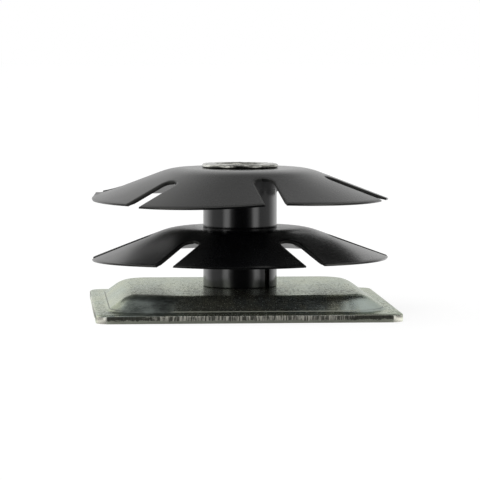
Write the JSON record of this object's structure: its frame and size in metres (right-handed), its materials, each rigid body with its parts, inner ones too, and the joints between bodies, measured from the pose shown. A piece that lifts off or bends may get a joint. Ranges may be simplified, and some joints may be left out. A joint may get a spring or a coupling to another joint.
{
  "type": "threaded caster insert",
  "caption": "Insert for the end of a square tube: pressed zinc-plated plate, threaded barrel for a caster stem, and black spring-steel stars on rolled spacers, swaged together.",
  "frame": {"origin": "centre of the plane of the plate's rim, on which the insert stands", "axes": "+Z along the barrel, from the plate towards the stars; -Y is the side that faces the picture's camera; X along the plate's front edge"},
  "size_m": [0.051, 0.051, 0.0251],
  "materials": {
    "zinc_plate": "bright zinc plating on pressed steel",
    "zinc_barrel": "bright zinc plating, hammered at the swaged lip",
    "black_tube": "glossy black finish on rolled steel strip",
    "black_spring": "satin black finish on spring steel"
  },
  "bodies": {
    "root": {"base_plate": "zinc_plate", "threaded_barrel": "zinc_barrel", "lower_spacer": "black_tube", "lower_star": "black_spring", "upper_spacer": "black_tube", "upper_star": "black_spring"}
  },
  "joints": []
}
